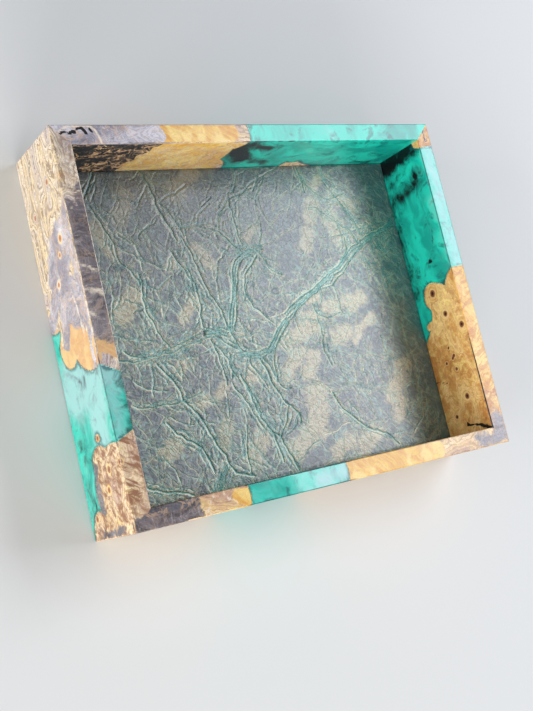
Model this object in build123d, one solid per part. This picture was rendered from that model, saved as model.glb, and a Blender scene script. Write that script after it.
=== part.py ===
"""A dice tray: four mitred rails of burl wood cast in coloured resin, a plywood floor and a leather lining.

The tray lies flat, open side up. X runs along its length, with the left rail at -X. Y runs across it, with
the back rail at +Y. The origin is the centre of the underside, on the surface that the rails stand on.

Each rail is one casting: burl pieces with their natural live edge, and the resin poured round them. The
rails were sawn from such blanks, grooved for the floor, mitred, glued up and eased along their edges. The
wood and the resin of a rail are separate solids here, which share the surface of the live edge exactly.
"""

from build123d import *
from dataclasses import dataclass
from math import pi, sin
import os

# Overall sizes of the tray, in millimetres
TRAY_LENGTH = 254.0
TRAY_WIDTH = 206.0
TRAY_HEIGHT = 51.0

# The rails
RAIL_THICKNESS = 10.6
EDGE_RADIUS = 0.6
GROOVE_DEPTH = 4.8
BASE_RECESS = 5.0

# The floor
PANEL_THICKNESS = 6.3
PANEL_SIDE_CLEARANCE = 0.3
PANEL_TOP_CLEARANCE = 0.1
LEATHER_THICKNESS = 2.0
LEATHER_SIDE_CLEARANCE = 0.3
LEATHER_SKIVE = 0.5

# The blanks that the live edges were drawn on: a live edge stretches with the rail that is sawn from it
DRAWN_LONG_BLANK = 254.0
DRAWN_SHORT_BLANK = 206.0
DRAWN_BLANK_HEIGHT = 51.0
SAW_MARGIN = 1.0

# How far a live edge bows along the rail, half way through its thickness
BACK_BELLY = 1.4
FRONT_LEFT_BELLY = 1.2
FRONT_RIGHT_BELLY = 0.8

# The crumb of burl in the left rail's resin
ISLET_RUN = 156.4
ISLET_DEPTH = 20.7
ISLET_WIDTH = 4.4
ISLET_HEIGHT = 6.8
ISLET_REACH = 7.0
ISLET_TAPER = 0.5

half_length = TRAY_LENGTH / 2
half_width = TRAY_WIDTH / 2
panel_bottom = BASE_RECESS
panel_top = panel_bottom + PANEL_THICKNESS
groove_top = panel_top + PANEL_TOP_CLEARANCE


@dataclass(frozen=True)
class Rail:
    """Where a rail stands: its outer corner, the way it runs, the way to the inside, and its two lengths."""

    corner: Vector
    along: Vector
    inward: Vector
    length: float
    drawn_length: float

    def point(self, run, depth, across):
        """The place of a point drawn run along a blank, depth below its rim and across its thickness."""
        stretched_run = run * self.length / self.drawn_length
        height = TRAY_HEIGHT * (1 - depth / DRAWN_BLANK_HEIGHT)
        return self.corner + self.along * stretched_run + self.inward * across + Vector(0, 0, height)


@dataclass(frozen=True)
class Knot:
    """A point of a live edge on the rail's outer and inner face, and the swell from there to the next one."""

    outer_run: float
    outer_depth: float
    inner_run: float
    inner_depth: float
    swell: float = 0.0


back_rail = Rail(
    Vector(-half_length, half_width, 0), Vector(1, 0, 0), Vector(0, -1, 0), TRAY_LENGTH, DRAWN_LONG_BLANK
)
front_rail = Rail(
    Vector(-half_length, -half_width, 0), Vector(1, 0, 0), Vector(0, 1, 0), TRAY_LENGTH, DRAWN_LONG_BLANK
)
left_rail = Rail(
    Vector(-half_length, half_width, 0), Vector(0, -1, 0), Vector(1, 0, 0), TRAY_WIDTH, DRAWN_SHORT_BLANK
)
right_rail = Rail(
    Vector(half_length, half_width, 0), Vector(0, -1, 0), Vector(-1, 0, 0), TRAY_WIDTH, DRAWN_SHORT_BLANK
)

# Depths just above the rim and just below the underside, past the saw cuts
TOP = -SAW_MARGIN
FOOT = DRAWN_BLANK_HEIGHT + SAW_MARGIN

# The live edges, drawn on each rail's outer and inner face, in millimetres along the blank and down from the
# rim. A positive swell bows the edge towards the blank's far end, a negative one towards its near end.

left_back_burl_edge = [
    Knot(121.8, TOP, 128.0, TOP, 5.0),
    Knot(114.3, 25.7, 120.5, 22.0, 9.5),
    Knot(101.5, 42.5, 110.5, 40.5, -0.8),
    Knot(95.7, 38.6, 107.0, 38.0, 1.0),
    Knot(94.8, FOOT, 103.0, FOOT),
]
left_front_burl_edge = [
    Knot(162.4, TOP, 156.2, TOP, -1.0),
    Knot(162.6, 14.5, 158.6, 12.5, -3.2),
    Knot(164.6, 32.0, 160.2, 25.5, -0.6),
    Knot(174.5, 33.6, 166.0, 33.0, -2.2),
    Knot(192.8, 34.4, 178.0, 39.0, -2.4),
    Knot(197.4, 46.6, 190.0, 43.5, -0.8),
    Knot(206.0, 49.6, 206.0, 48.0),
]
back_burl_edge = [
    Knot(116.6, TOP, 117.3, TOP, 0.6),
    Knot(121.0, 9.0, 114.6, 5.4, 0.5),
    Knot(119.0, 16.0, 110.8, 9.4, 0.7),
    Knot(117.5, 28.0, 110.6, 24.6, 1.2),
    Knot(123.5, 38.5, 117.8, 33.0, 0.9),
    Knot(121.5, FOOT, 119.6, FOOT),
]
back_sliver_edge = [
    Knot(161.0, FOOT, 154.0, FOOT, -1.0),
    Knot(165.0, 43.0, 162.6, 31.0, -0.7),
    Knot(172.0, 41.5, 171.5, 30.2, -0.8),
    Knot(180.0, 45.0, 186.4, 37.7, -1.0),
    Knot(184.0, FOOT, 192.0, FOOT),
]
right_cap_edge = [
    Knot(13.8, TOP, 15.6, TOP, 0.8),
    Knot(18.5, 13.0, 14.6, 2.2, 1.0),
    Knot(11.0, 33.0, 11.6, 3.6, 0.4),
    Knot(0.0, 41.0, 0.0, 5.0),
]
right_burl_edge = [
    Knot(93.2, TOP, 93.6, TOP, -1.3),
    Knot(99.6, 9.8, 103.3, 9.0, -0.8),
    Knot(96.8, 20.5, 98.3, 21.0, -2.3),
    Knot(103.5, 27.6, 105.5, 29.7, -1.9),
    Knot(111.6, 27.0, 114.2, 26.6, 0.9),
    Knot(118.6, 29.6, 121.8, 28.8, -0.7),
    Knot(121.4, 34.6, 124.0, 34.2, -1.0),
    Knot(124.8, 33.4, 127.4, 31.4, -0.5),
    Knot(127.6, 36.4, 130.2, 33.9, -0.6),
    Knot(132.4, 40.4, 134.4, 38.0, -1.2),
    Knot(138.5, FOOT, 136.6, FOOT),
]
front_left_burl_edge = [
    Knot(64.9, TOP, 65.0, TOP, 1.4),
    Knot(68.5, 12.0, 62.4, 13.0, 1.8),
    Knot(64.0, 25.0, 65.6, 26.0, 2.2),
    Knot(71.0, 39.0, 60.5, 38.0, 1.2),
    Knot(68.0, FOOT, 64.0, FOOT),
]
front_right_burl_edge = [
    Knot(129.8, TOP, 129.2, TOP, -1.2),
    Knot(126.0, 13.0, 133.0, 12.0, -1.9),
    Knot(131.5, 27.0, 127.6, 25.0, -2.0),
    Knot(124.6, 40.0, 133.5, 38.0, -1.0),
    Knot(127.5, FOOT, 131.0, FOOT),
]


# The glued-up frame


def make_frame():
    """The four rails as they leave the glue-up: a grooved ring with its outer and rim edges eased."""
    ring = Box(TRAY_LENGTH, TRAY_WIDTH, TRAY_HEIGHT, align=(Align.CENTER, Align.CENTER, Align.MIN))
    ring -= Box(
        TRAY_LENGTH - 2 * RAIL_THICKNESS,
        TRAY_WIDTH - 2 * RAIL_THICKNESS,
        TRAY_HEIGHT,
        align=(Align.CENTER, Align.CENTER, Align.MIN),
    )
    ring = fillet([edge for edge in ring.edges() if not stays_sharp(edge)], EDGE_RADIUS)
    groove = Box(
        TRAY_LENGTH - 2 * (RAIL_THICKNESS - GROOVE_DEPTH),
        TRAY_WIDTH - 2 * (RAIL_THICKNESS - GROOVE_DEPTH),
        groove_top - panel_bottom,
        align=(Align.CENTER, Align.CENTER, Align.MIN),
    )
    return ring - Pos(0, 0, panel_bottom) * groove


def stays_sharp(edge):
    """Whether an edge of the plain ring isn't eased: the opening's inner corners and its lower edges."""
    middle = edge.center()
    on_opening = (
        abs(middle.X) < half_length - RAIL_THICKNESS / 2 and abs(middle.Y) < half_width - RAIL_THICKNESS / 2
    )
    return on_opening and middle.Z < TRAY_HEIGHT - RAIL_THICKNESS / 2


def saw_rail(frame, rail):
    """One rail of the frame, between the mitres at its two ends."""
    overhang = RAIL_THICKNESS + SAW_MARGIN
    corners = [(0, 0), (rail.length, 0), (rail.length - overhang, overhang), (overhang, overhang)]
    plan = [rail.corner + rail.along * run + rail.inward * across for run, across in corners]
    wedge = extrude(make_face(Polyline(*plan, close=True)), TRAY_HEIGHT, dir=(0, 0, 1))
    return frame & wedge


# Burl pieces


def live_edge_points(rail, knots, inner_share, belly):
    """A live edge's points and arcs on one plane across the rail, from its outer face to its inner one."""
    across = -SAW_MARGIN + (RAIL_THICKNESS + 2 * SAW_MARGIN) * inner_share
    drawn = []
    for knot in knots:
        run = knot.outer_run + (knot.inner_run - knot.outer_run) * inner_share
        depth = knot.outer_depth + (knot.inner_depth - knot.outer_depth) * inner_share
        drawn.append((run + belly * sin(pi * inner_share), depth))
    return across, drawn


def swollen_arc(rail, across, start, end, swell):
    """The arc between two points of a live edge, whose crown stands swell off the straight line."""
    first = rail.point(*start, across)
    last = rail.point(*end, across)
    if swell == 0:
        return Line(first, last)
    run_step = end[0] - start[0]
    depth_step = end[1] - start[1]
    span = (run_step**2 + depth_step**2) ** 0.5
    crown = (
        (start[0] + end[0]) / 2 + swell * depth_step / span,
        (start[1] + end[1]) / 2 - swell * run_step / span,
    )
    return ThreePointArc(first, rail.point(*crown, across), last)


def section(rail, knots, inner_share, belly, end_run):
    """The face that a burl piece fills on one plane across the rail, out to the end that it was sawn at."""
    across, drawn = live_edge_points(rail, knots, inner_share, belly)
    edges = [
        swollen_arc(rail, across, start, end, knot.swell)
        for knot, start, end in zip(knots, drawn, drawn[1:])
    ]
    closing = [drawn[-1]]
    if end_run is not None:
        closing += [(end_run, drawn[-1][1]), (end_run, drawn[0][1])]
    closing.append(drawn[0])
    edges += [Line(rail.point(*a, across), rail.point(*b, across)) for a, b in zip(closing, closing[1:])]
    return make_face(Wire(edges))


def burl_lump(rail, knots, belly=0.0, end_run=None):
    """A lump of burl that runs right through a rail, lofted from its outer section to its inner one."""
    shares = (0, 0.5, 1) if belly else (0, 1)
    sections = [section(rail, knots, share, belly, end_run) for share in shares]
    return loft(sections, ruled=not belly)


def past_start():
    """A run just before a rail's first end, past the saw cut."""
    return -SAW_MARGIN


def past_end(rail):
    """A run just after a rail's last end, past the saw cut."""
    return rail.drawn_length + SAW_MARGIN


def islet(rail, run, depth, width, height, reach):
    """A loose crumb of burl in the resin: an oval on the outer face that tapers as it goes inside."""
    sections = []
    for across, share in ((-SAW_MARGIN, 1.0), (reach, ISLET_TAPER)):
        centre = rail.point(run, depth, across)
        plane = Plane(origin=centre, x_dir=rail.along, z_dir=rail.inward)
        sections.append(plane * Ellipse(width * share / 2, height * share / 2))
    return loft(sections, ruled=True)


def split_casting(rail_solid, resin_name, lumps):
    """The burl pieces and the resin that one rail is made of, by name."""
    pieces = {name: rail_solid & lump for name, lump in lumps.items()}
    resin = rail_solid
    for lump in lumps.values():
        resin -= lump
    return pieces | {resin_name: resin}


def make_left_rail(frame):
    """The left rail: a long and a short burl piece, and a crumb of burl in the resin between them."""
    lumps = {
        "left_burl_back": burl_lump(left_rail, left_back_burl_edge, end_run=past_start()),
        "left_burl_front": burl_lump(left_rail, left_front_burl_edge, end_run=past_end(left_rail)),
        "left_burl_islet": islet(
            left_rail, ISLET_RUN, ISLET_DEPTH, ISLET_WIDTH, ISLET_HEIGHT, ISLET_REACH
        ),
    }
    return split_casting(saw_rail(frame, left_rail), "left_resin", lumps)


def make_back_rail(frame):
    """The back rail: a burl piece in its left half, and a low sliver of burl under the resin."""
    lumps = {
        "back_burl": burl_lump(back_rail, back_burl_edge, BACK_BELLY, past_start()),
        "back_burl_sliver": burl_lump(back_rail, back_sliver_edge),
    }
    return split_casting(saw_rail(frame, back_rail), "back_resin", lumps)


def make_right_rail(frame):
    """The right rail: a cap of burl at the back corner, and a burl piece in its front half."""
    lumps = {
        "right_burl_cap": burl_lump(right_rail, right_cap_edge, end_run=past_start()),
        "right_burl": burl_lump(right_rail, right_burl_edge, end_run=past_end(right_rail)),
    }
    return split_casting(saw_rail(frame, right_rail), "right_resin", lumps)


def make_front_rail(frame):
    """The front rail: a burl piece at each end, and the resin between them."""
    lumps = {
        "front_burl_left": burl_lump(
            front_rail, front_left_burl_edge, FRONT_LEFT_BELLY, past_start()
        ),
        "front_burl_right": burl_lump(
            front_rail, front_right_burl_edge, FRONT_RIGHT_BELLY, past_end(front_rail)
        ),
    }
    return split_casting(saw_rail(frame, front_rail), "front_resin", lumps)


# The floor


def make_floor_panel():
    """The plywood panel, which sits in the rails' groove all round."""
    tongue = GROOVE_DEPTH - PANEL_SIDE_CLEARANCE
    panel = Box(
        TRAY_LENGTH - 2 * (RAIL_THICKNESS - tongue),
        TRAY_WIDTH - 2 * (RAIL_THICKNESS - tongue),
        PANEL_THICKNESS,
        align=(Align.CENTER, Align.CENTER, Align.MIN),
    )
    return Pos(0, 0, panel_bottom) * panel


def make_leather_lining():
    """The leather glued onto the panel between the rails, with its top edges skived."""
    leather = Box(
        TRAY_LENGTH - 2 * (RAIL_THICKNESS + LEATHER_SIDE_CLEARANCE),
        TRAY_WIDTH - 2 * (RAIL_THICKNESS + LEATHER_SIDE_CLEARANCE),
        LEATHER_THICKNESS,
        align=(Align.CENTER, Align.CENTER, Align.MIN),
    )
    leather = chamfer(leather.faces().sort_by(Axis.Z)[-1].edges(), LEATHER_SKIVE)
    return Pos(0, 0, panel_top) * leather


def main():
    """Builds every piece and writes one file for each."""
    frame = make_frame()
    pieces = make_left_rail(frame) | make_back_rail(frame) | make_right_rail(frame) | make_front_rail(frame)
    pieces["floor_panel"] = make_floor_panel()
    pieces["leather_lining"] = make_leather_lining()
    os.makedirs("parts", exist_ok=True)
    for name, piece in pieces.items():
        solids = piece.solids()
        export_step(solids[0] if len(solids) == 1 else Compound(children=solids), f"parts/{name}.step")
        print(name, "solids", len(solids), "volume", round(piece.volume, 1))


main()
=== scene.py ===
"""Looks of the dice tray: rails of burl wood cast in teal resin round a floor of creased leather."""

import logging
import math
from dataclasses import dataclass
from enum import Enum

import bmesh
import bpy
import numpy as np
from mathutils import Matrix, Quaternion, Vector, noise
from mathutils.bvhtree import BVHTree


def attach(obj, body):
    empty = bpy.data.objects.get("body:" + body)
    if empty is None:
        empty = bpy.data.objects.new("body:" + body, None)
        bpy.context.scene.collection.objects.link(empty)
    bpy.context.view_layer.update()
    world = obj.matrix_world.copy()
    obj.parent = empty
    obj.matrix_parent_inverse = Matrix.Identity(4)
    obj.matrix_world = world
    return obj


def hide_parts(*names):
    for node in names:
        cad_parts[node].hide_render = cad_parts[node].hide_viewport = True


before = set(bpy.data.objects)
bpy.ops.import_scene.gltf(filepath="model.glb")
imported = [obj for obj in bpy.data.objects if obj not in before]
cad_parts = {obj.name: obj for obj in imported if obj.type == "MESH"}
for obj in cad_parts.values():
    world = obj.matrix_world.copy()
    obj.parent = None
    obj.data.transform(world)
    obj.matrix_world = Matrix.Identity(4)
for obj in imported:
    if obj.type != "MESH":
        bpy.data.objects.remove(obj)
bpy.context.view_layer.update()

# The tray's own sizes in millimetres, as in the CAD. MM turns them into Blender's metres.
MM = 0.001
LENGTH, WIDTH, HEIGHT = 254.0, 206.0, 51.0
RAIL = 10.6
LEATHER_LENGTH, LEATHER_WIDTH = 232.2, 184.2
LEATHER_TOP, LEATHER_UNDERSIDE = 13.3, 11.3
WELL_LEFT, WELL_BACK = -116.4, 92.4

# Faces that turn by less than this are one flat face. A face is cut fine where its normal is this
# much along an axis, because the live edge's facets slant more. A point this near to a cut is on it.
FLAT_WITHIN = math.radians(0.1)
SQUARE_ON = 0.99999
ON_PLANE = 0.02

NOISE_SEED = 5

Line = tuple[tuple[float, ...], ...]


def linear(colour: str) -> tuple[float, float, float, float]:
    """Turns a colour to linear.

    Args:
        colour: Its sRGB hex value.

    Returns:
        Linear red, green and blue, and an alpha of 1.
    """
    parts = [int(colour[i : i + 2], 16) / 255 for i in (1, 3, 5)]
    curve = [p / 12.92 if p <= 0.04045 else ((p + 0.055) / 1.055) ** 2.4 for p in parts]
    return (*curve, 1.0)


@dataclass(frozen=True)
class Field:
    """A number, a place or a colour that varies over a surface: the output of a shader node."""

    socket: bpy.types.NodeSocket

    def worked(self, operation: str, other: "Field | float | tuple" = 0.0) -> "Field":
        """The field after one step of arithmetic.

        Args:
            operation: What the shader's node calls that step.
            other: A number, a vector or the other field.

        Returns:
            A field of numbers, or of vectors where this one holds places or colours.
        """
        if self.socket.type == "VALUE":
            return node(self.socket.id_data, "Math", {0: self, 1: other}, operation=operation)
        if isinstance(other, (int, float)):
            other = (other, other, other)
        return node(self.socket.id_data, "VectorMath", {0: self, 1: other}, operation=operation)

    def __add__(self, other: "Field | float | tuple") -> "Field":
        """Their sum."""
        return self.worked("ADD", other)

    def __sub__(self, other: "Field | float | tuple") -> "Field":
        """Their difference."""
        return self.worked("SUBTRACT", other)

    def __mul__(self, other: "Field | float | tuple") -> "Field":
        """Their product."""
        return self.worked("MULTIPLY", other)

    def __truediv__(self, other: "Field | float | tuple") -> "Field":
        """Their quotient."""
        return self.worked("DIVIDE", other)

    def __abs__(self) -> "Field":
        """Its size without the sign."""
        return self.worked("ABSOLUTE")

    def larger(self, other: "Field") -> "Field":
        """The larger of the two."""
        return self.worked("MAXIMUM", other)

    def share(self, low: float, high: float, start: float = 0.0, end: float = 1.0) -> "Field":
        """How far the field has come from one value to another.

        Args:
            low: The value that it comes from.
            high: The value that it goes to, which may be the smaller one.
            start: What to give at the first value, and before it.
            end: What to give at the second value, and past it.

        Returns:
            The share, eased at both ends.
        """
        inputs = {0: self, 1: low, 2: high, 3: start, 4: end}
        return node(self.socket.id_data, "MapRange", inputs, interpolation_type="SMOOTHSTEP", clamp=True)


def node(
    tree: bpy.types.NodeTree, kind: str, inputs: dict | None = None, out: int | str = 0,
    stops: tuple[tuple[float, str], ...] = (), **settings: object,
) -> Field | None:
    """Adds a shader node, sets it up and gives back one of its outputs.

    Args:
        tree: The node tree that it goes into.
        kind: Its type, without the leading "ShaderNode".
        inputs: For an input's name or number, a value, a hex colour or the field that feeds it.
        out: The name or number of the output to give back.
        stops: Places and hex colours of a colour ramp.
        **settings: Options of the node.

    Returns:
        The field of that output, or none for a node that ends the tree.
    """
    made = tree.nodes.new("ShaderNode" + kind)
    for name, value in settings.items():
        setattr(made, name, value)
    for key, value in (inputs or {}).items():
        if isinstance(value, Field):
            tree.links.new(value.socket, made.inputs[key])
        else:
            made.inputs[key].default_value = linear(value) if isinstance(value, str) else value
    if stops:
        ramp = made.color_ramp.elements
        while len(ramp) < len(stops):
            ramp.new(0.5)
        for element, (place, colour) in zip(ramp, stops):
            element.position = place
            element.color = linear(colour)
    return Field(made.outputs[out]) if made.outputs else None


class Graph:
    """A material's node tree, with the few steps that every finish here is made of."""

    def __init__(self, name: str) -> None:
        """Starts an empty material.

        Args:
            name: The material's name.
        """
        self.material = bpy.data.materials.new(name)
        self.material.use_nodes = True
        self.tree = self.material.node_tree
        self.tree.nodes.clear()

    def place(self) -> Field:
        """Object coordinates in millimetres."""
        return node(self.tree, "TexCoord", out="Object") * (1 / MM)

    def painted(self, *names: str, out: str = "Fac") -> list[Field]:
        """What the mesh carries at each vertex under these names: numbers, or vectors from "Vector"."""
        return [
            node(self.tree, "Attribute", out=out, attribute_name=name, attribute_type="GEOMETRY")
            for name in names
        ]

    def cloud(
        self, where: Field, size: float, detail: float = 3.0, rough: float = 0.5, out: str = "Fac"
    ) -> Field:
        """Fractal noise whose blobs are about that many millimetres across."""
        inputs = {"Vector": where, "Scale": 1 / size, "Detail": detail, "Roughness": rough}
        return node(self.tree, "TexNoise", inputs, out)

    def streaks(
        self, where: Field, size: float, turn: float, ratio: tuple[float, float, float],
        detail: float = 3.0, rough: float = 0.5, tilt: float = 0.0,
    ) -> Field:
        """Noise drawn out into slanting streaks.

        Args:
            where: Its coordinates in millimetres.
            size: How wide a blob is before it is drawn out.
            turn: How far the streaks are turned about the third axis.
            ratio: What each turned axis is scaled by. A small one draws the blobs out along it.
            detail: How many finer layers the noise has.
            rough: How strong those are.
            tilt: How far the streaks are turned about the second axis.

        Returns:
            A field from 0 to 1.
        """
        scale = tuple(1 / share for share in ratio)
        inputs = {"Vector": where, "Rotation": (0, tilt, turn), "Scale": scale}
        return self.cloud(node(self.tree, "Mapping", inputs, vector_type="TEXTURE"), size, detail, rough)

    def bent(self, where: Field, size: float, amount: float) -> Field:
        """Coordinates pushed about by noise, up to about half that amount in millimetres."""
        return where + (self.cloud(where, size, 2.0, out="Color") - 0.5) * amount

    def ripple(self, field: Field, count: float) -> Field:
        """Even rings, from 0 to 1, along the contours of a field."""
        return (field * (count * math.tau)).worked("SINE") * 0.5 + 0.5

    def layers(self, base: Field | str, *layers: tuple[Field | float, Field | str]) -> Field:
        """Colours laid over one another.

        Args:
            base: The lowest colour.
            *layers: For each colour above it, how much of it covers, from 0 to 1, and the colour.

        Returns:
            The colour that shows.
        """
        for share, colour in layers:
            base = node(self.tree, "Mix", {0: share, 6: base, 7: colour}, 2, data_type="RGBA")
        return base

    def finish(self, inputs: dict, height: Field | None = None, depth: float = 0.1) -> bpy.types.Material:
        """Ends the tree in a Principled shader.

        Args:
            inputs: Values and fields for the shader's sockets.
            height: A field from 0 to 1 for the bump.
            depth: How high a height of 1 stands, in millimetres.

        Returns:
            The material.
        """
        if height is not None:
            bump = {"Height": height, "Distance": depth * MM, "Strength": 1.0}
            inputs = {**inputs, "Normal": node(self.tree, "Bump", bump)}
        node(self.tree, "OutputMaterial", {"Surface": node(self.tree, "BsdfPrincipled", inputs)})
        return self.material


class Face(Enum):
    """A side of a rail, with what stays the same along it: its depth or its distance across."""

    OUTER = (None, 0.0)
    INNER = (None, RAIL)
    RIM = (0.0, None)

    def points(self, *pairs: tuple[float, float]) -> Line:
        """Places points on this face.

        Args:
            *pairs: Run and depth of each point, or on the rim run and across.

        Returns:
            Run, depth and across of each.
        """
        depth, across = self.value
        if depth is None:
            return tuple((run, other, across) for run, other in pairs)
        return tuple((run, depth, other) for run, other in pairs)


class Channel(Enum):
    """What a stroke brings out in a rail's finish."""

    HEART = "heart"
    GOLD = "gold"
    PALE = "pale"
    DARK = "dark"
    EYE = "eye"
    SMOKE = "smoke"
    MILK = "milk"
    SILVER = "silver"
    TONE = "tone"
    BAND = "band"


HEART, GOLD, PALE, DARK, EYE, SMOKE, MILK, SILVER, TONE, BAND = Channel
OUTER, INNER, RIM = Face

# Each rail's grain starts this far from the next one's, so that no two show the same figure.
GRAIN_SHIFT = 700

# An eye is felt up to this many of its radii away.
EYE_LIMIT = 4.0


@dataclass(frozen=True)
class Stroke:
    """A line or a spot that shows in the wood or in the resin.

    Its field is 0.5 at the reach, in millimetres from the line, and falls over twice the soft width.
    With a soft width of up to 0.5 it keeps its even outline, which isn't pushed about by noise.
    """

    channel: Channel
    face: Face
    pairs: Line
    reach: float
    soft: float = 2.0
    strength: float = 1.0

    def line(self) -> np.ndarray:
        """Its points in rail coordinates."""
        points = np.array(self.face.points(*self.pairs), float)
        return points if len(points) > 1 else np.vstack([points, points + (0.01, 0, 0)])

    def field(self, where: np.ndarray) -> np.ndarray:
        """Its strength at each of these rail coordinates."""
        away = line_distance(where, self.line())[0]
        return self.strength * np.clip(0.5 + (self.reach - away) / (2 * self.soft), 0, 1)


def line_distance(where: np.ndarray, line: np.ndarray) -> tuple[np.ndarray, np.ndarray]:
    """How far points are from a polyline.

    Args:
        where: The points, one in each row.
        line: The polyline's points, with as many columns.

    Returns:
        The distances, and on which side of the line each point is, from -1 to 1, for flat points.
    """
    best = np.full(len(where), 1e9)
    side = np.zeros(len(where))
    for start, end in zip(line[:-1], line[1:]):
        span = end - start
        share = np.clip(((where - start) @ span) / max(span @ span, 1e-9), 0, 1)
        offset = where - start - share[:, None] * span
        away = np.sqrt((offset**2).sum(1))
        near = away < best
        best[near] = away[near]
        if where.shape[1] == 2:
            turn = np.sign(span[0] * offset[near, 1] - span[1] * offset[near, 0])
            side[near] = turn
    return best, side


def rounded(line: Line, steps: int = 4) -> np.ndarray:
    """Rounds a polyline's corners by a spline through the same points.

    Args:
        line: The polyline.
        steps: How many points the spline has for each of its points.

    Returns:
        The rounded line's points.
    """
    points = np.array(line, float)
    if len(points) < 3:
        return points
    ends = np.vstack([2 * points[0] - points[1], points, 2 * points[-1] - points[-2]])
    shares = np.linspace(0, 1, steps, endpoint=False)[:, None]
    parts = []
    for a, b, c, d in zip(ends[:-3], ends[1:-2], ends[2:-1], ends[3:]):
        bend = (2 * a - 5 * b + 4 * c - d) * shares**2 + (3 * b - a - 3 * c + d) * shares**3
        parts.append(b + 0.5 * ((c - a) * shares + bend))
    return np.vstack(parts + [points[-1:]])


@dataclass
class Surface:
    """Points in millimetres and triangles, on their way to becoming a mesh."""

    points: np.ndarray
    triangles: np.ndarray

    @classmethod
    def of_node(cls, name: str) -> "Surface":
        """Copies the surface of a CAD node.

        Args:
            name: The node's name.

        Returns:
            The surface, with its loose triangles joined.
        """
        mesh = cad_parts[name].data
        points = np.empty(len(mesh.vertices) * 3, np.float32)
        mesh.vertices.foreach_get("co", points)
        mesh.calc_loop_triangles()
        corners = np.empty(len(mesh.loop_triangles) * 3, np.int32)
        mesh.loop_triangles.foreach_get("vertices", corners)
        surface = cls(points.reshape(-1, 3).astype(float) / MM, corners.reshape(-1, 3).astype(np.int64))
        surface.merge()
        return surface

    def merge(self, within: float = 2e-3) -> None:
        """Joins points that fall together and drops triangles that this leaves without area.

        Args:
            within: The size in millimetres of the grid that points are sorted into.
        """
        keys = np.round(self.points / within).astype(np.int64)
        _, first, which = np.unique(keys, axis=0, return_index=True, return_inverse=True)
        self.points = self.points[first]
        corners = which.reshape(-1)[self.triangles]
        a, b, c = corners.T
        self.triangles = corners[(a != b) & (b != c) & (a != c)]

    def slice(self, spacing: float) -> None:
        """Cuts the flat faces into a grid, so that their points can carry a fine pattern.

        Args:
            spacing: The distance in millimetres from plane to plane, along each axis.
        """
        mesh = bmesh.new()
        corners = [mesh.verts.new(point) for point in self.points.tolist()]
        for triangle in self.triangles.tolist():
            mesh.faces.new([corners[index] for index in triangle])
        bmesh.ops.dissolve_limit(mesh, angle_limit=FLAT_WITHIN, verts=mesh.verts, edges=mesh.edges)
        mesh.normal_update()
        flat = [face for face in mesh.faces if max(map(abs, face.normal)) > SQUARE_ON]
        for axis in range(3):
            low = math.floor(self.points[:, axis].min() / spacing)
            high = math.ceil(self.points[:, axis].max() / spacing)
            flat = self._cut(mesh, flat, axis, low, high, spacing)
        bmesh.ops.triangulate(mesh, faces=mesh.faces)
        mesh.verts.index_update()
        self.points = np.array([vertex.co for vertex in mesh.verts], float)
        self.triangles = np.array([[vertex.index for vertex in face.verts] for face in mesh.faces])
        mesh.free()
        self.merge()

    def _cut(
        self, mesh: bmesh.types.BMesh, faces: list[bmesh.types.BMFace], axis: int, low: int, high: int,
        spacing: float,
    ) -> list[bmesh.types.BMFace]:
        """Cuts faces at the middle one of the planes between two, and then each half in the same way.

        Args:
            mesh: The mesh that the faces are in.
            faces: The faces.
            axis: The axis that the planes are square to.
            low: The number of the plane below the faces.
            high: The number of the plane above them.
            spacing: The distance from plane to plane.

        Returns:
            The faces that they are cut into.
        """
        if high - low < 2 or not faces:
            return faces
        middle = (low + high) // 2
        normal = [float(axis == other) for other in range(3)]
        plane = [share * middle * spacing for share in normal]
        edges = dict.fromkeys(edge for face in faces for edge in face.edges)
        made = bmesh.ops.bisect_plane(
            mesh, geom=[*faces, *edges], dist=ON_PLANE, plane_co=plane, plane_no=normal
        )
        sides = ([], [])
        for part in made["geom"]:
            if isinstance(part, bmesh.types.BMFace):
                sides[part.calc_center_median()[axis] > middle * spacing].append(part)
        below = self._cut(mesh, sides[0], axis, low, middle, spacing)
        return below + self._cut(mesh, sides[1], axis, middle, high, spacing)

    def tree(self) -> BVHTree:
        """A search tree of its triangles."""
        return BVHTree.FromPolygons(self.points.tolist(), self.triangles.tolist())

    def build(
        self, name: str, fields: dict[str, np.ndarray], material: bpy.types.Material, sharp: float
    ) -> bpy.types.Object:
        """Makes the object.

        Args:
            name: The object's name.
            fields: A number or a vector for each point, by attribute name.
            material: Its finish.
            sharp: The angle in degrees from which an edge stays sharp.

        Returns:
            The object.
        """
        mesh = bpy.data.meshes.new(name)
        mesh.from_pydata((self.points * MM).tolist(), [], self.triangles.tolist())
        for label, values in fields.items():
            kind, key = ("FLOAT_VECTOR", "vector") if values.ndim == 2 else ("FLOAT", "value")
            layer = mesh.attributes.new(label, kind, "POINT")
            layer.data.foreach_set(key, np.ascontiguousarray(values, np.float32).ravel())
        mesh.shade_smooth()
        mesh.set_sharp_from_angle(angle=math.radians(sharp))
        mesh.materials.append(material)
        piece = bpy.data.objects.new(name, mesh)
        bpy.context.scene.collection.objects.link(piece)
        return piece


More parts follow.
